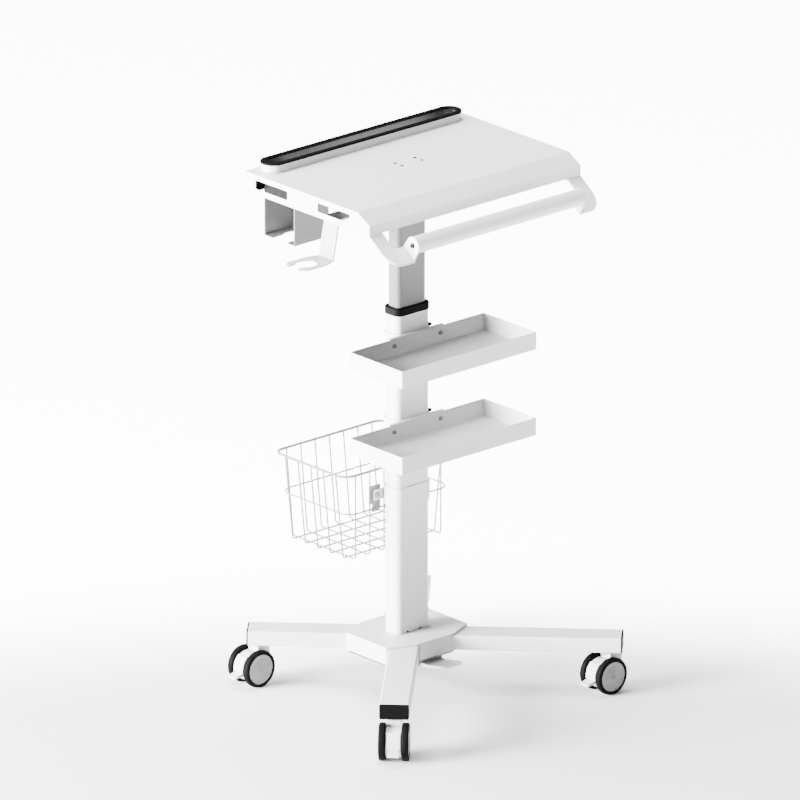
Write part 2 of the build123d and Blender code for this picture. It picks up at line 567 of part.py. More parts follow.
with BuildPart() as slot_trim:
    with BuildSketch(Plane.XY.offset(TRIM_TOP - TRIM_H)):
        with Locations((0, CABLE_Y)):
            SlotCenterToCenter(CABLE_L, 2 * TRIM_OUT)
            SlotCenterToCenter(CABLE_L, 2 * TRIM_IN, mode=Mode.SUBTRACT)
    extrude(amount=TRIM_H)
    fillet(slot_trim.edges().group_by(Axis.Z)[-1], TRIM_EDGE_R)
    with BuildSketch(Plane.XY.offset(TRIM_TOP - TRIM_H)):
        with Locations((0, CABLE_Y)):
            SlotCenterToCenter(CABLE_L, 2 * (COLLAR_R + FIT))
            SlotCenterToCenter(CABLE_L, 2 * (COLLAR_R - TOP_T - FIT), mode=Mode.SUBTRACT)
    extrude(amount=TOP_Z + COLLAR_H + FIT - (TRIM_TOP - TRIM_H), mode=Mode.SUBTRACT)
save(slot_trim, "slot_trim")

# ---------------------------------------------------------------- handle
slope_y, slope_z = cos(radians(BRACKET_SLOPE)), sin(radians(BRACKET_SLOPE))
bend_y, bend_z = BRACKET_BEND, UNDER - SEAT
drop_t = BRACKET_T / slope_y


def along_slope(length):
    """Point of the bracket's upper face, seen from the side, that far in front of its bend."""
    return bend_y - length * slope_y, bend_z - length * slope_z


for hand, side in (("left", -1), ("right", 1)):
    outer_x = side * TOP_X / 2
    tip_y, tip_z = along_slope(BRACKET_LEN)
    root_y, root_z = along_slope(BRACKET_LEN - BRACKET_ARM)
    with BuildPart() as handle_bracket:
        with BuildSketch(Plane.YZ.offset(side * (FLANGE_X - BRACKET_T))):
            with BuildLine():
                Polyline((bend_y + BRACKET_FOOT, bend_z), (bend_y, bend_z), (tip_y, tip_z),
                         (tip_y, tip_z - drop_t), (bend_y, bend_z - drop_t),
                         (bend_y + BRACKET_FOOT, bend_z - drop_t), close=True)
            make_face()
        extrude(amount=side * (TOP_X / 2 - FLANGE_X + BRACKET_T))
        with BuildSketch(Plane.XY.offset(tip_z - 2 * BRACKET_T)):
            with Locations((outer_x, tip_y)):
                Rectangle(2 * CORNER_R, 2 * CORNER_R)
            with Locations((side * (TOP_X / 2 - CORNER_R), tip_y + CORNER_R)):
                Circle(CORNER_R, mode=Mode.SUBTRACT)
            with Locations((side * (TOP_X / 4 - BRACKET_W), root_y + TOP_X / 4)):
                Rectangle(TOP_X / 2, TOP_X / 2)
        extrude(amount=TOP_DEPTH * 2, mode=Mode.SUBTRACT)
        with BuildSketch(Plane.YZ.offset(side * FLANGE_X)):
            with Locations((HANDLE_Y, HANDLE_Z)):
                Circle(HANDLE_R + FLANGE_GROW)
            with BuildLine():
                Line((tip_y, tip_z), (root_y, root_z))
            make_hull()
            with BuildLine():
                Polyline((tip_y, tip_z), (root_y, root_z), (root_y, root_z - drop_t),
                         (tip_y, tip_z - drop_t), close=True)
            make_face()
            with Locations((HANDLE_Y, HANDLE_Z)):
                Circle(HANDLE_SCREW_R + SEAT, mode=Mode.SUBTRACT)
        extrude(amount=-side * BRACKET_T)
    save(handle_bracket, f"handle_bracket_{hand}")

with BuildPart() as handle_bar:
    with BuildSketch(Plane.YZ.offset(-HANDLE_HALF)):
        with Locations((HANDLE_Y, HANDLE_Z)):
            Circle(HANDLE_R)
            Circle(HANDLE_R - HANDLE_T, mode=Mode.SUBTRACT)
    extrude(amount=2 * HANDLE_HALF)
    for side in (-1, 1):
        with BuildSketch(Plane.YZ.offset(side * HANDLE_HALF)):
            with Locations((HANDLE_Y, HANDLE_Z)):
                Circle(HANDLE_R - HANDLE_T)
                Circle(HANDLE_SCREW_R + SEAT, mode=Mode.SUBTRACT)
        extrude(amount=-side * HANDLE_PLUG)
save(handle_bar, "handle_bar")

# ---------------------------------------------------------------- holders under the worktop
(hold_x0, hold_x1), (hold_y0, hold_y1) = HOLDER_X, HOLDER_Y
hold_x, hold_y = (hold_x0 + hold_x1) / 2, (hold_y0 + hold_y1) / 2
HOLDER_TOP = TOP_Z - TOP_T - SEAT
HOLDER_TAB_MID = HOLDER_TAB_Y / 2 - HOLDER_TAB_IN
with BuildPart() as device_holder:
    with BuildSketch(Plane.XY.offset(HOLDER_BOTTOM)):
        with Locations((hold_x, hold_y)):
            Rectangle(hold_x1 - hold_x0, hold_y1 - hold_y0)
        with Locations((hold_x - HOLDER_T, hold_y)):
            Rectangle(hold_x1 - hold_x0, hold_y1 - hold_y0 - 2 * HOLDER_T, mode=Mode.SUBTRACT)
    extrude(amount=HOLDER_TOP - HOLDER_BOTTOM)
    with BuildSketch(Plane.XY.offset(HOLDER_BOTTOM)):
        with Locations((hold_x, hold_y)):
            Rectangle(hold_x1 - hold_x0, hold_y1 - hold_y0)
            Circle(HOLDER_HOLE_R, mode=Mode.SUBTRACT)
        with Locations((hold_x0, hold_y)):
            Rectangle(hold_x1 - hold_x0, HOLDER_MOUTH, mode=Mode.SUBTRACT)
    extrude(amount=HOLDER_T)
    with BuildSketch(Plane.XY.offset(HOLDER_TOP)):
        with Locations((hold_x, hold_y1 + HOLDER_TAB_MID), (hold_x, hold_y0 - HOLDER_TAB_MID)):
            Rectangle(HOLDER_TAB_X, HOLDER_TAB_Y)
    extrude(amount=-HOLDER_T)
save(device_holder, "device_holder")

STRAP_TOP = UNDER - SEAT
with BuildPart() as bottle_holder:
    with BuildSketch(Plane.XZ.offset(-FORK_Y - STRAP_W / 2)):
        with BuildLine():
            Polyline((STRAP_X + STRAP_FOOT, STRAP_TOP), (STRAP_X, STRAP_TOP), (FORK_ROOT, FORK_Z),
                     (FORK_ROOT, FORK_Z - FORK_T), (FORK_ROOT + FORK_T, FORK_Z - FORK_T),
                     (STRAP_X + FORK_T, STRAP_TOP - FORK_T), (STRAP_X + STRAP_FOOT, STRAP_TOP - FORK_T),
                     close=True)
        make_face()
    extrude(amount=STRAP_W)
    with BuildSketch(Plane.XY.offset(FORK_Z)):
        with BuildLine():
            Polyline((FORK_ROOT + FORK_OVER, FORK_Y - STRAP_W / 2),
                     (FORK_ROOT + FORK_OVER, FORK_Y + STRAP_W / 2),
                     (FORK_ROOT - FORK_NECK, FORK_Y + FORK_W / 2), (FORK_TIP + FORK_CUT, FORK_Y + FORK_W / 2),
                     (FORK_TIP, FORK_Y + FORK_W / 2 - FORK_CUT), (FORK_TIP, FORK_Y - FORK_W / 2 + FORK_CUT),
                     (FORK_TIP + FORK_CUT, FORK_Y - FORK_W / 2), (FORK_ROOT - FORK_NECK, FORK_Y - FORK_W / 2),
                     close=True)
        make_face()
        with Locations((FORK_HOLE_X, FORK_Y)):
            Circle(FORK_HOLE_R, mode=Mode.SUBTRACT)
        with Locations((FORK_TIP, FORK_Y)):
            Rectangle(2 * (FORK_HOLE_X - FORK_TIP), FORK_MOUTH, mode=Mode.SUBTRACT)
    extrude(amount=-FORK_T)
save(bottle_holder, "bottle_holder")

with BuildPart() as worktop_screws:
    with Locations((0, TOP_SCREW_MID, TOP_Z - FIT)):
        with GridLocations(*TOP_SCREW_GRID, 2, 2):
            with Locations((0, 0, -SINK_SCREW_H / 2)):
                Cone(TOP_SCREW_R, SINK_R - SINK_GAP, SINK_SCREW_H)
            with Locations((0, 0, -(SINK_SCREW_H + MOUNT_T) / 2)):
                Cylinder(TOP_SCREW_R, MOUNT_T)
            Cylinder(SINK_R * SOCKET_SHARE, SINK_SCREW_H, mode=Mode.SUBTRACT)
    for side in (-1, 1):
        screw((side * FLANGE_X, HANDLE_Y, HANDLE_Z), (side, 0, 0), HANDLE_SCREW)
save(worktop_screws, "worktop_screws")

# ---------------------------------------------------------------- casters
with BuildPart() as caster_stems:
    for leg in LEGS:
        x, y = stem_point(leg)
        with BuildSketch(Plane((x, y, LEG_BOTTOM - 0.1))):
            Circle(15)
        extrude(amount=-3.4)
        with BuildSketch(Plane((x, y, STEM_LOW))):
            Circle(SWIVEL_PIN_R)
        extrude(amount=LEG_BOTTOM + 14 - STEM_LOW)
save(caster_stems, "caster_stems")

for leg in LEGS:
    x, y = stem_point(leg)
    trail = radians(TRAIL_ANGLE[leg])
    along, across = Vector(cos(trail), sin(trail), 0), Vector(-sin(trail), cos(trail), 0)
    stem = Vector(x, y, 0)
    axle = stem + along * TRAIL + Vector(0, 0, WHEEL_R)
    middle = Plane(stem, x_dir=along, z_dir=along.cross(Vector(0, 0, 1)))

    with BuildPart() as caster_housing:
        with BuildSketch(middle):
            with Locations((TRAIL, WHEEL_R)):
                Circle(HOOD_R)
            with Locations((0, HOUSING_TOP - 15)):
                Rectangle(30, 30)
        extrude(amount=HOOD_W / 2, both=True)
        fillet(caster_housing.faces().sort_by(Axis.Z)[-1].edges(), 3)
        with BuildSketch(Plane((x, y, STEM_LOW - 1))):
            Circle(SWIVEL_PIN_R + FIT)
        extrude(amount=HOUSING_TOP - STEM_LOW + 2, mode=Mode.SUBTRACT)
        with BuildSketch(middle):
            with Locations((TRAIL + LEVER_PIVOT[0], LEVER_PIVOT[1])):
                Circle(LEVER_BOSS_R + 1.2)
            with Locations((TRAIL + LEVER_PIVOT[0] + 8, LEVER_PIVOT[1] - 3)):
                Rectangle(20, 16)
        extrude(amount=LEVER_W / 2 + 0.4, both=True, mode=Mode.SUBTRACT)
        with BuildSketch(middle):
            with Locations((TRAIL + LEVER_PIVOT[0], LEVER_PIVOT[1])):
                Circle(LEVER_PIN_R)
        extrude(amount=HOOD_W / 2 - 0.5, both=True)
        with BuildSketch(middle):
            with Locations((TRAIL, WHEEL_R)):
                Circle(AXLE_R)
        extrude(amount=WHEEL_Y + WHEEL_W / 2 - 1.5, both=True)
    save(caster_housing, f"caster_housing_{leg}")

    with BuildPart() as brake_lever:
        with BuildSketch(middle):
            with Locations((TRAIL + LEVER_PIVOT[0], LEVER_PIVOT[1])):
                Circle(LEVER_BOSS_R)
            with BuildLine():
                Polyline((TRAIL + LEVER_PIVOT[0], LEVER_PIVOT[1] + 3), (LEVER_TIP, LEVER_PIVOT[1] - 3),
                         (LEVER_TIP, LEVER_PIVOT[1] - 7), (TRAIL + LEVER_PIVOT[0], LEVER_PIVOT[1] - 3),
                         close=True)
            make_face()
        extrude(amount=LEVER_W / 2, both=True)
        with BuildSketch(middle):
            with Locations((TRAIL, WHEEL_R)):
                Circle(SHIELD_R + SHIELD_T)
                Circle(SHIELD_R, mode=Mode.SUBTRACT)
            with BuildLine():
                Polyline((TRAIL, WHEEL_R), (TRAIL + 2 * SHIELD_R, WHEEL_R - SHIELD_LOW),
                         (TRAIL + 2 * SHIELD_R, WHEEL_R + SHIELD_HIGH),
                         close=True)
            make_face(mode=Mode.INTERSECT)
        extrude(amount=SHIELD_W / 2, both=True)
        with BuildSketch(middle):
            with Locations((TRAIL + LEVER_PIVOT[0], LEVER_PIVOT[1])):
                Circle(LEVER_PIN_R + FIT)
        extrude(amount=LEVER_W / 2, both=True, mode=Mode.SUBTRACT)
    save(brake_lever, f"brake_lever_{leg}")

    for hand, offset in (("a", -1), ("b", 1)):
        hub = Plane(axle + across * (offset * WHEEL_Y - WHEEL_W / 2), z_dir=across)
        with BuildPart() as wheel_core:
            with BuildSketch(hub.offset(1)):
                Circle(CORE_R - FIT)
            extrude(amount=WHEEL_W - 2)
            fillet(wheel_core.edges(), 1.5)
            with BuildSketch(hub):
                Circle(AXLE_R + FIT)
            extrude(amount=WHEEL_W, mode=Mode.SUBTRACT)
        save(wheel_core, f"wheel_core_{leg}_{hand}")

        with BuildPart() as wheel_tyre:
            with BuildSketch(hub):
                Circle(WHEEL_R)
            extrude(amount=WHEEL_W)
            fillet(wheel_tyre.edges(), 3.5)
            with BuildSketch(hub):
                Circle(CORE_R)
            extrude(amount=WHEEL_W, mode=Mode.SUBTRACT)
        save(wheel_tyre, f"wheel_tyre_{leg}_{hand}")
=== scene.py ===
"""Looks of the ultrasound trolley: powder-coated sheet, bent wire basket, twin-wheel casters."""
from math import cos, pi, radians, sin

import bpy
from mathutils import Matrix, Vector


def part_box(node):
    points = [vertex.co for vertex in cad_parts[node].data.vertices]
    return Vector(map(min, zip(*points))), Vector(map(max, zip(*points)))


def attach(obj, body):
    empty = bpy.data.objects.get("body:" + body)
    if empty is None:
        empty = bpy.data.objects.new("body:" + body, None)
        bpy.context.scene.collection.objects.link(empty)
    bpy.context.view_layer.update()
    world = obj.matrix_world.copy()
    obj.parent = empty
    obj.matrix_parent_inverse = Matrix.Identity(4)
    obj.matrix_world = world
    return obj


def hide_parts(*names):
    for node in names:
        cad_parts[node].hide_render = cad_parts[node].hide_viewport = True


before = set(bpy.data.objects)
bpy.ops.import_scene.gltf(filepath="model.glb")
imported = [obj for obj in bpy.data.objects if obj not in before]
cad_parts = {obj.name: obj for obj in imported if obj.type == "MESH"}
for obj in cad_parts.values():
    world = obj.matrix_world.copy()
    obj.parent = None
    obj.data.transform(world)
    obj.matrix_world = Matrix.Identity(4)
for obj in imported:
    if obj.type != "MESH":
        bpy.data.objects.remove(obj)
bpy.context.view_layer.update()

MM = 0.001
LEGS = ("front_left", "front_right", "rear_left", "rear_right")
WHITE = 0.6

# worktop: depth below its top, the front slope, and the raised cable slot
TOP_DEPTH, BEVEL_RUN, BEVEL_FALL = 40 * MM, 34 * MM, 19.0 / 34.0
CABLE_BACK, CABLE_HALF, COLLAR_INSIDE = 30.5 * MM, 227.5 * MM, 22.5 * MM
SKIN = 1.0 * MM


# ---------------------------------------------------------------- materials
def material(name, colour, roughness, metallic=0.0):
    """A new node material: (material, its node tree, its shader)."""
    mat = bpy.data.materials.new(name)
    mat.use_nodes = True
    tree = mat.node_tree
    shader = tree.nodes["Principled BSDF"]
    shader.inputs["Base Color"].default_value = (*colour, 1)
    shader.inputs["Roughness"].default_value = roughness
    shader.inputs["Metallic"].default_value = metallic
    return mat, tree, shader


def noise(tree, scale, detail=3.0, stretch=(1, 1, 1)):
    """Noise in object space, so it doesn't depend on UVs."""
    place = tree.nodes.new("ShaderNodeTexCoord")
    mapping = tree.nodes.new("ShaderNodeMapping")
    mapping.inputs["Scale"].default_value = stretch
    texture = tree.nodes.new("ShaderNodeTexNoise")
    texture.inputs["Scale"].default_value = scale
    texture.inputs["Detail"].default_value = detail
    tree.links.new(place.outputs["Object"], mapping.inputs["Vector"])
    tree.links.new(mapping.outputs["Vector"], texture.inputs["Vector"])
    return texture


def vary_colour(tree, shader, texture, low, high):
    """Let the base colour drift between two close tones."""
    ramp = tree.nodes.new("ShaderNodeValToRGB")
    ramp.color_ramp.elements[0].position = 0.35
    ramp.color_ramp.elements[1].position = 0.65
    ramp.color_ramp.elements[0].color = (*low, 1)
    ramp.color_ramp.elements[1].color = (*high, 1)
    tree.links.new(texture.outputs["Fac"], ramp.inputs["Fac"])
    tree.links.new(ramp.outputs["Color"], shader.inputs["Base Color"])


def vary_roughness(tree, shader, texture, low, high):
    """Let the roughness drift between two values."""
    span = tree.nodes.new("ShaderNodeMapRange")
    span.inputs["To Min"].default_value = low
    span.inputs["To Max"].default_value = high
    tree.links.new(texture.outputs["Fac"], span.inputs["Value"])
    tree.links.new(span.outputs["Result"], shader.inputs["Roughness"])


def add_bump(tree, shader, texture, strength, distance):
    """Raise the surface a little where the texture is bright."""
    bump = tree.nodes.new("ShaderNodeBump")
    bump.inputs["Strength"].default_value = strength
    bump.inputs["Distance"].default_value = distance
    tree.links.new(texture.outputs["Fac"], bump.inputs["Height"])
    tree.links.new(bump.outputs["Normal"], shader.inputs["Normal"])


def coated(name, tone):
    """Powder coat without its colour: fine orange peel and faintly uneven gloss."""
    mat, tree, shader = material(name, (tone, tone, tone), 0.42)
    shader.inputs["Specular IOR Level"].default_value = 0.3
    slow = noise(tree, 6.0, 2.0)
    vary_roughness(tree, shader, slow, 0.38, 0.47)
    add_bump(tree, shader, noise(tree, 900.0, 2.0), 0.12, 0.0002)
    return mat, tree, shader, slow


def powder_coat(name, tone):
    """Powder coat of one, faintly uneven, tone."""
    mat, tree, shader, slow = coated(name, tone)
    vary_colour(tree, shader, slow, (tone * 0.985,) * 3, (tone, tone, tone))
    return mat


def rubber(name, tone, grain):
    """Black rubber: matte, fine grained, slightly dusty in places."""
    mat, tree, shader = material(name, (tone, tone, tone), 0.62)
    shader.inputs["Specular IOR Level"].default_value = 0.04
    dust = noise(tree, 30.0, 4.0)
    vary_colour(tree, shader, dust, (tone * 0.8,) * 3, (tone * 1.3, tone * 1.3, tone * 1.35))
    vary_roughness(tree, shader, dust, 0.55, 0.72)
    add_bump(tree, shader, noise(tree, grain, 3.0), 0.25, 0.0002)
    return mat


def moulded(name, colour, roughness, gloss):
    """Moulded plastic with a light spark-eroded grain."""
    mat, tree, shader = material(name, colour, roughness)
    shader.inputs["Specular IOR Level"].default_value = gloss
    slow = noise(tree, 20.0, 2.0)
    vary_colour(tree, shader, slow, tuple(c * 0.96 for c in colour), colour)
    vary_roughness(tree, shader, slow, roughness - 0.04, roughness + 0.06)
    add_bump(tree, shader, noise(tree, 1400.0, 2.0), 0.15, 0.0001)
    return mat


def steel(name, tone, stretch):
    """Zinc-plated or brushed steel: fine drawn streaks."""
    mat, tree, shader = material(name, (tone, tone, tone), 0.34, 1.0)
    streaks = noise(tree, 60.0, 5.0, stretch)
    vary_colour(tree, shader, streaks, (tone * 0.86,) * 3, (tone, tone, tone * 1.01))
    vary_roughness(tree, shader, streaks, 0.26, 0.42)
    add_bump(tree, shader, streaks, 0.08, 0.0001)
    return mat


def calculator(tree):
    """A function that adds a Math node to a tree; its inputs are numbers or other sockets."""
    def maths(operation, *values):
        node = tree.nodes.new("ShaderNodeMath")
        node.operation = operation
        for socket, value in zip(node.inputs, values):
            if isinstance(value, float):
                socket.default_value = value
            else:
                tree.links.new(value, socket)
        return node.outputs["Value"]
    return maths


def collar_distance(maths, at, low, high):
    """Distance in plan from the middle line of the cable slot."""
    across = maths("SUBTRACT", at["Y"], high.y - CABLE_BACK)
    from_middle = maths("ABSOLUTE", maths("SUBTRACT", at["X"], (low.x + high.x) / 2))
    along = maths("MAXIMUM", maths("SUBTRACT", from_middle, CABLE_HALF), 0.0)
    return maths("SQRT", maths("ADD", maths("MULTIPLY", across, across), maths("MULTIPLY", along, along)))


def coat_with_painted_shade_inside(name, tone, painted_shade_tone):
    """Powder coat outside; the folded sheet's inner side and the cable collar's inner wall get a dark
    painted shade.
    """
    mat, tree, shader, _ = coated(name, tone)
    maths = calculator(tree)
    place = tree.nodes.new("ShaderNodeTexCoord")
    apart = tree.nodes.new("ShaderNodeSeparateXYZ")
    tree.links.new(place.outputs["Object"], apart.inputs["Vector"])
    at = apart.outputs

    low, high = (Vector(corner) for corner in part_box("worktop"))
    top = low.z + TOP_DEPTH
    slope = maths("MAXIMUM", maths("SUBTRACT", low.y + BEVEL_RUN, at["Y"]), 0.0)
    droop = maths("MULTIPLY", slope, BEVEL_FALL)
    # painted shade: the folded sheet's inner side, below the top skin and within its walls, is coloured dark
    shaded_inside = maths("LESS_THAN", maths("ADD", at["Z"], droop), top - SKIN)
    for axis, least, most in (("X", low.x, high.x), ("Y", low.y, high.y)):
        shaded_inside = maths("MULTIPLY", shaded_inside, maths("GREATER_THAN", at[axis], least + SKIN))
        shaded_inside = maths("MULTIPLY", shaded_inside, maths("LESS_THAN", at[axis], most - SKIN))
    # painted shade: the cable collar's inner wall is coloured dark
    shaded_collar = maths("MULTIPLY", maths("GREATER_THAN", at["Z"], top + SKIN),
                   maths("LESS_THAN", collar_distance(maths, at, low, high), COLLAR_INSIDE))
    mix = tree.nodes.new("ShaderNodeMix")
    mix.data_type = "RGBA"
    factor, outside_colour, painted_shade_colour = mix.inputs[0], mix.inputs[6], mix.inputs[7]
    outside_colour.default_value = (tone, tone, tone, 1)
    painted_shade_colour.default_value = (painted_shade_tone, painted_shade_tone, painted_shade_tone, 1)
    tree.links.new(maths("MAXIMUM", shaded_inside, shaded_collar), factor)
    tree.links.new(mix.outputs[2], shader.inputs["Base Color"])
    return mat


PAINT = powder_coat("white_powder_coat", WHITE)
# mast: grey coat, made darker still as painted shade from the worktop above
MAST_GREY_AND_SHADE = powder_coat("mast_grey_coat_painted_shade", 0.09)
# device holder: white coat darkened as painted shade under the worktop
HOLDER_PAINTED_SHADE = powder_coat("white_holder_painted_shade", 0.14)
# bottle holder fork: coat darkened as painted shade from the worktop above
FORK_PAINTED_SHADE = powder_coat("fork_coat_painted_shade", 0.4)
# basket wire: white coat darkened as painted shade on the thin wires
WIRE_PAINTED_SHADE = powder_coat("white_wire_painted_shade", 0.16)
RUBBER = rubber("black_rubber_trim", 0.0016, 1500.0)
TYRE = rubber("tyre_rubber", 0.0018, 1100.0)
CAP = moulded("black_plastic", (0.0015, 0.0015, 0.0017), 0.55, 0.04)
GREY = moulded("grey_plastic", (0.55, 0.55, 0.56), 0.4, 0.4)
DISC = moulded("wheel_disc_plastic", (0.22, 0.22, 0.23), 0.4, 0.3)
ZINC = steel("zinc_steel", 0.22, (1, 1, 8))
PLATE = steel("dull_steel_plate", 0.12, (1, 1, 8))
BOLT = steel("dark_bolt_steel", 0.03, (1, 1, 4))
DARK = moulded("black_paint", (0.01, 0.01, 0.011), 0.3, 0.4)
# worktop: white coat outside, dark painted shade on its inner side and in the cable collar
TOP_PAINT_AND_SHADE = coat_with_painted_shade_inside("worktop_coat_painted_shade", WHITE, 0.03)

NODE_LOOKS = {
    "slot_trim": RUBBER, "clamp_pads": RUBBER, "leg_end_caps": CAP, "column_collar": CAP,
    "basket_bracket": PLATE, "bottle_holder": FORK_PAINTED_SHADE, "frame_screws": ZINC, "worktop_screws": BOLT,
    "caster_stems": ZINC, "inner_column": MAST_GREY_AND_SHADE, "device_holder": HOLDER_PAINTED_SHADE, "worktop": TOP_PAINT_AND_SHADE,
    "base_plate": ZINC, "pedal_bracket": ZINC, "top_mount_plate": ZINC, "gas_spring_rod": ZINC,
    "gas_spring_cylinder": DARK,
}
for leg in LEGS:
    NODE_LOOKS[f"caster_housing_{leg}"] = GREY
    NODE_LOOKS[f"brake_lever_{leg}"] = GREY
for name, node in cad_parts.items():
    look = NODE_LOOKS.get(name, PAINT)
    node.data.materials.clear()
    node.data.materials.append(look)


# ---------------------------------------------------------------- mesh helpers
def piece(name, verts, faces, look):
    """A new mesh object with one material."""
    mesh = bpy.data.meshes.new(name)
    mesh.from_pydata([tuple(v) for v in verts], [], faces)
    mesh.validate()
    for face in mesh.polygons:
        face.use_smooth = True
    mesh.materials.append(look)
    ob = bpy.data.objects.new(name, mesh)
    bpy.context.scene.collection.objects.link(ob)
    return ob


def lathe(name, profile, centre, axis, look, steps=96):
    """Turn a closed outline of (radius, offset along the axis) points about an axis."""
    spin = Vector(axis).normalized().to_track_quat("Z", "Y").to_matrix()
    rows = len(profile)
    verts = [
        Vector(centre) + spin @ Vector((r * cos(2 * pi * i / steps), r * sin(2 * pi * i / steps), h))
        for i in range(steps) for r, h in profile
    ]
    faces = []
    for i in range(steps):
        row, next_row = i * rows, (i + 1) % steps * rows
        for j in range(rows):
            beside = (j + 1) % rows
            faces.append((row + j, next_row + j, next_row + beside, row + beside))
    return piece(name, verts, faces, look)


def wire(name, points, radius, look, cyclic=False):
    """Round wire along a line of points."""
    curve = bpy.data.curves.new(name, "CURVE")
    curve.dimensions = "3D"
    curve.bevel_depth = radius
    curve.bevel_resolution = 4
    curve.use_fill_caps = True
    spline = curve.splines.new("POLY")
    spline.points.add(len(points) - 1)
    for point, at in zip(spline.points, points):
        point.co = (*at, 1)
    spline.use_cyclic_u = cyclic
    curve.materials.append(look)
    ob = bpy.data.objects.new(name, curve)
    bpy.context.scene.collection.objects.link(ob)
    return ob


def bend(corner, before, after, radius, steps=7):
    """Points of a round bend at a corner between two directions."""
    a, b = (before - corner).normalized(), (after - corner).normalized()
    half = a.angle(b) / 2
    reach = radius / max(0.05, abs(sin(half) / cos(half)))
    start, end = corner + a * reach, corner + b * reach
    centre = corner + (a + b).normalized() * (radius / sin(half))
    turn = (start - centre).angle(end - centre)
    axis = (start - centre).cross(end - centre).normalized()
    return [centre + Matrix.Rotation(turn * i / steps, 3, axis) @ (start - centre) for i in range(steps + 1)]


def bent(points, radius, cyclic=False):
    """A polyline with round bends at its inner corners."""
    count = len(points)
    line = [] if cyclic else [points[0]]
    for i in range(0 if cyclic else 1, count if cyclic else count - 1):
        line += bend(points[i], points[i - 1], points[(i + 1) % count], radius)
    return line if cyclic else line + [points[-1]]


# ---------------------------------------------------------------- wheels
HALF_WHEEL = 7.0 * MM
TYRE_PROFILE = (
    (30.1, 0.4), (31.0, 0.0), (34.0, 0.0), (35.7, 0.5), (36.9, 1.7), (37.45, 3.4), (37.5, 7.0),
    (37.45, 10.6), (36.9, 12.3), (35.7, 13.5), (34.0, 14.0), (31.0, 14.0), (30.1, 13.6),
)
DISC_PROFILE = (
    (4.1, 1.0), (11.0, 1.0), (12.0, 1.6), (26.0, 1.6), (27.5, 0.9), (29.4, 0.9), (30.0, 1.6),
    (30.0, 12.4), (29.4, 13.1), (27.5, 13.1), (26.0, 12.2), (19.0, 12.2), (18.2, 12.7), (9.2, 12.7),
    (8.2, 13.3), (0.0, 13.3), (0.0, 12.8), (4.1, 12.8),
)


def scaled(profile):
    """An outline given in millimetres, in metres."""
    return [(r * MM, h * MM) for r, h in profile]


def make_wheels():
    """Each wheel as a rubber tyre round a moulded disc with a shallow dish and a hub ring."""
    for leg in LEGS:
        for hand in ("a", "b"):
            core, tyre = f"wheel_core_{leg}_{hand}", f"wheel_tyre_{leg}_{hand}"
            low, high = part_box(tyre)
            centre = (Vector(low) + Vector(high)) / 2
            other = "b" if hand == "a" else "a"
            far_low, far_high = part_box(f"wheel_tyre_{leg}_{other}")
            out = (centre - (Vector(far_low) + Vector(far_high)) / 2).normalized()
            inner = centre - out * HALF_WHEEL
            body = f"wheel_{leg}_{hand}"
            rim = lathe(f"tyre_{leg}_{hand}", scaled(TYRE_PROFILE), inner, out, TYRE)
            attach(rim, body)
            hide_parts(tyre)
            disc = lathe(f"disc_{leg}_{hand}", scaled(DISC_PROFILE), inner, out, DISC)
            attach(disc, body)
            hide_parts(core)


# ---------------------------------------------------------------- basket
RIM_Z, RING_Z, BOTTOM_Z, FLOOR_Z, CROSS_Z = 453 * MM, 373 * MM, 280 * MM, 278.4 * MM, 275.3 * MM
BASKET_CENTRE = Vector((20.0, 181.05, 0)) * MM
BASKET_HALF = Vector((142.0, 105.5)) * MM
WIRE_INSET, WIRE_STEP, WIRE_R, RIM_R = 3.9 * MM, 37.0 * MM, 1.6 * MM, 2.5 * MM
TAPER = 19.0 / 173.0
RING_BEND, WIRE_BEND = 25 * MM, 7 * MM


def reach_at(z):
    """Half the basket's width, and how far its rear is from the rim's middle; the front stays upright."""
    inset = TAPER * (RIM_Z - z)
    return BASKET_HALF.x - inset, BASKET_HALF.y - inset


def basket_ring(name, z, radius):
    """Level wire ring with round corners."""
    x, rear = reach_at(z)
    x, rear, front = (reach - RIM_R + radius for reach in (x, rear, BASKET_HALF.y))
    corners = [BASKET_CENTRE + Vector((*p, z)) for p in ((-x, -front), (x, -front), (x, rear), (-x, rear))]
    return wire(name, bent(corners, RING_BEND, True), radius, WIRE_PAINTED_SHADE, True)


def basket_wire(name, line):
    """Thin wire with two bends, its points given from the basket's middle."""
    return wire(name, bent([BASKET_CENTRE + point for point in line], WIRE_BEND), WIRE_R, WIRE_PAINTED_SHADE)


def make_basket():
    """Wire basket: two rings and U-shaped wires that cross on the floor."""
    wires = [basket_ring("basket_rim", RIM_Z, RIM_R), basket_ring("basket_middle_ring", RING_Z, WIRE_R)]
    top_x, top_rear = (reach - WIRE_INSET for reach in reach_at(RIM_Z))
    low_x, low_rear = (reach - WIRE_INSET for reach in reach_at(BOTTOM_Z))
    front = WIRE_INSET - BASKET_HALF.y
    for i in range(-3, 4):
        line = [Vector((i * WIRE_STEP, y, z)) for y, z in
                ((front, RIM_Z), (front, FLOOR_Z), (low_rear, FLOOR_Z), (top_rear, RIM_Z))]
        wires.append(basket_wire(f"basket_long_wire_{i + 4}", line))
    for i in range(-2, 3):
        line = [Vector((x, i * WIRE_STEP, z)) for x, z in
                ((-top_x, RIM_Z), (-low_x, CROSS_Z), (low_x, CROSS_Z), (top_x, RIM_Z))]
        wires.append(basket_wire(f"basket_cross_wire_{i + 3}", line))
    for ob in wires:
        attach(ob, "frame")
    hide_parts("basket_rings")
    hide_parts("basket_side_wires", "basket_floor_wires")


# ---------------------------------------------------------------- floor, light and camera
FLOOR_SIZE = 30.0
FADE_CENTRE = (-1.6, -1.8, 0)
FADE_START, FADE_END, FLOOR_GLOW = 2.35, 3.3, 10.0


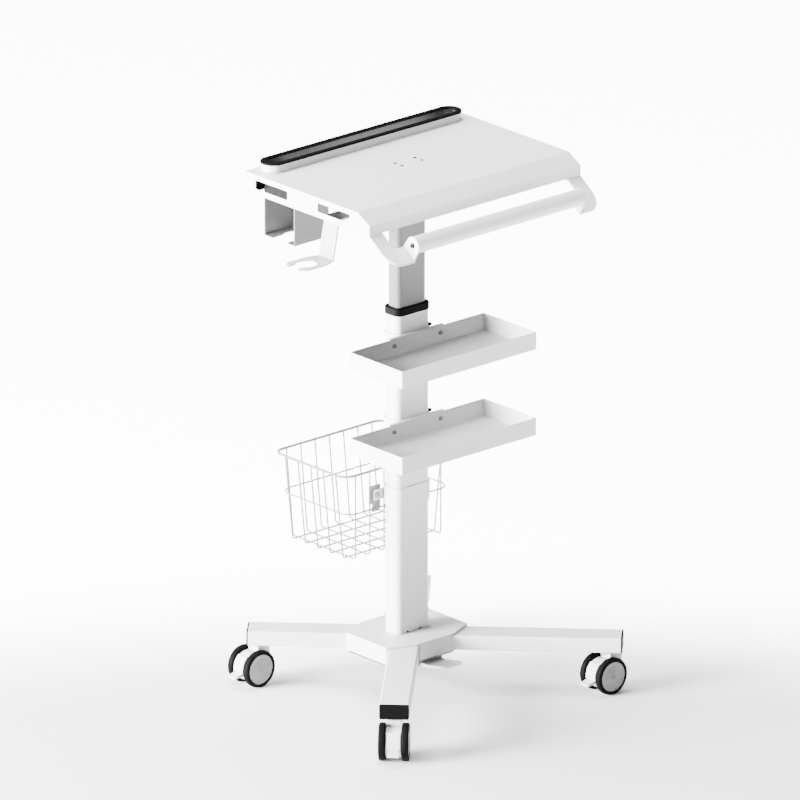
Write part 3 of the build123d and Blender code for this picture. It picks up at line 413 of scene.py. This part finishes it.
def make_floor():
    """Plain pale floor that brightens to white away from the trolley."""
    mat, tree, shader = material("floor", (0.72, 0.72, 0.72), 0.9)
    place = tree.nodes.new("ShaderNodeTexCoord")
    distance = tree.nodes.new("ShaderNodeVectorMath")
    distance.operation = "LENGTH"
    fade = tree.nodes.new("ShaderNodeMapRange")
    fade.interpolation_type = "SMOOTHERSTEP"
    fade.inputs["From Min"].default_value = FADE_START
    fade.inputs["From Max"].default_value = FADE_END
    fade.inputs["To Max"].default_value = FLOOR_GLOW
    shader.inputs["Emission Color"].default_value = (1, 1, 1, 1)
    shift = tree.nodes.new("ShaderNodeVectorMath")
    shift.operation = "SUBTRACT"
    shift.inputs[1].default_value = FADE_CENTRE
    tree.links.new(place.outputs["Object"], shift.inputs[0])
    tree.links.new(shift.outputs["Vector"], distance.inputs[0])
    tree.links.new(distance.outputs["Value"], fade.inputs["Value"])
    tree.links.new(fade.outputs["Result"], shader.inputs["Emission Strength"])
    corners = [(x * FLOOR_SIZE, y * FLOOR_SIZE, 0) for x, y in ((-1, -1), (1, -1), (1, 1), (-1, 1))]
    piece("floor", corners, [(0, 1, 2, 3)], mat)


def area_light(name, place, target, size, power):
    """Soft rectangular lamp aimed at a point."""
    data = bpy.data.lights.new(name, "AREA")
    data.size = size
    data.energy = power
    lamp = bpy.data.objects.new(name, data)
    lamp.location = place
    lamp.rotation_euler = (Vector(target) - Vector(place)).to_track_quat("-Z", "Y").to_euler()
    bpy.context.scene.collection.objects.link(lamp)


SKY = 0.2


def make_lights():
    """White surroundings with a large key lamp at the left and a weaker one above."""
    world = bpy.data.worlds.new("studio")
    world.use_nodes = True
    background = world.node_tree.nodes["Background"]
    background.inputs["Color"].default_value = (1, 1, 1, 1)
    background.inputs["Strength"].default_value = SKY
    bpy.context.scene.world = world
    area_light("key", (-5.6, 1.9, 1.5), (0, 0, 0.6), 2.8, 5200)
    area_light("top", (-0.3, 0.8, 5.0), (0, 0, 0.5), 3.0, 800)


CAMERA_AZIMUTH, CAMERA_ELEVATION = radians(-41.6), radians(19.6)
CAMERA_AIM = Vector((0.0347, 0.09075, 0.5745))
CAMERA_FAR = 40.0
VIEW_WIDTH = 1.5558


def make_camera():
    """Long lens from the front left, a little above, so that parallel edges stay parallel."""
    back = Vector((
        sin(CAMERA_AZIMUTH) * cos(CAMERA_ELEVATION),
        -cos(CAMERA_AZIMUTH) * cos(CAMERA_ELEVATION),
        sin(CAMERA_ELEVATION),
    ))
    data = bpy.data.cameras.new("camera")
    data.sensor_width = 36.0
    data.lens = 36.0 * CAMERA_FAR / VIEW_WIDTH
    data.clip_start, data.clip_end = 1.0, 200.0
    camera = bpy.data.objects.new("camera", data)
    camera.location = CAMERA_AIM + back * CAMERA_FAR
    camera.rotation_euler = back.to_track_quat("Z", "Y").to_euler()
    bpy.context.scene.collection.objects.link(camera)
    bpy.context.scene.camera = camera


make_wheels()
make_basket()
make_floor()
make_lights()
make_camera()
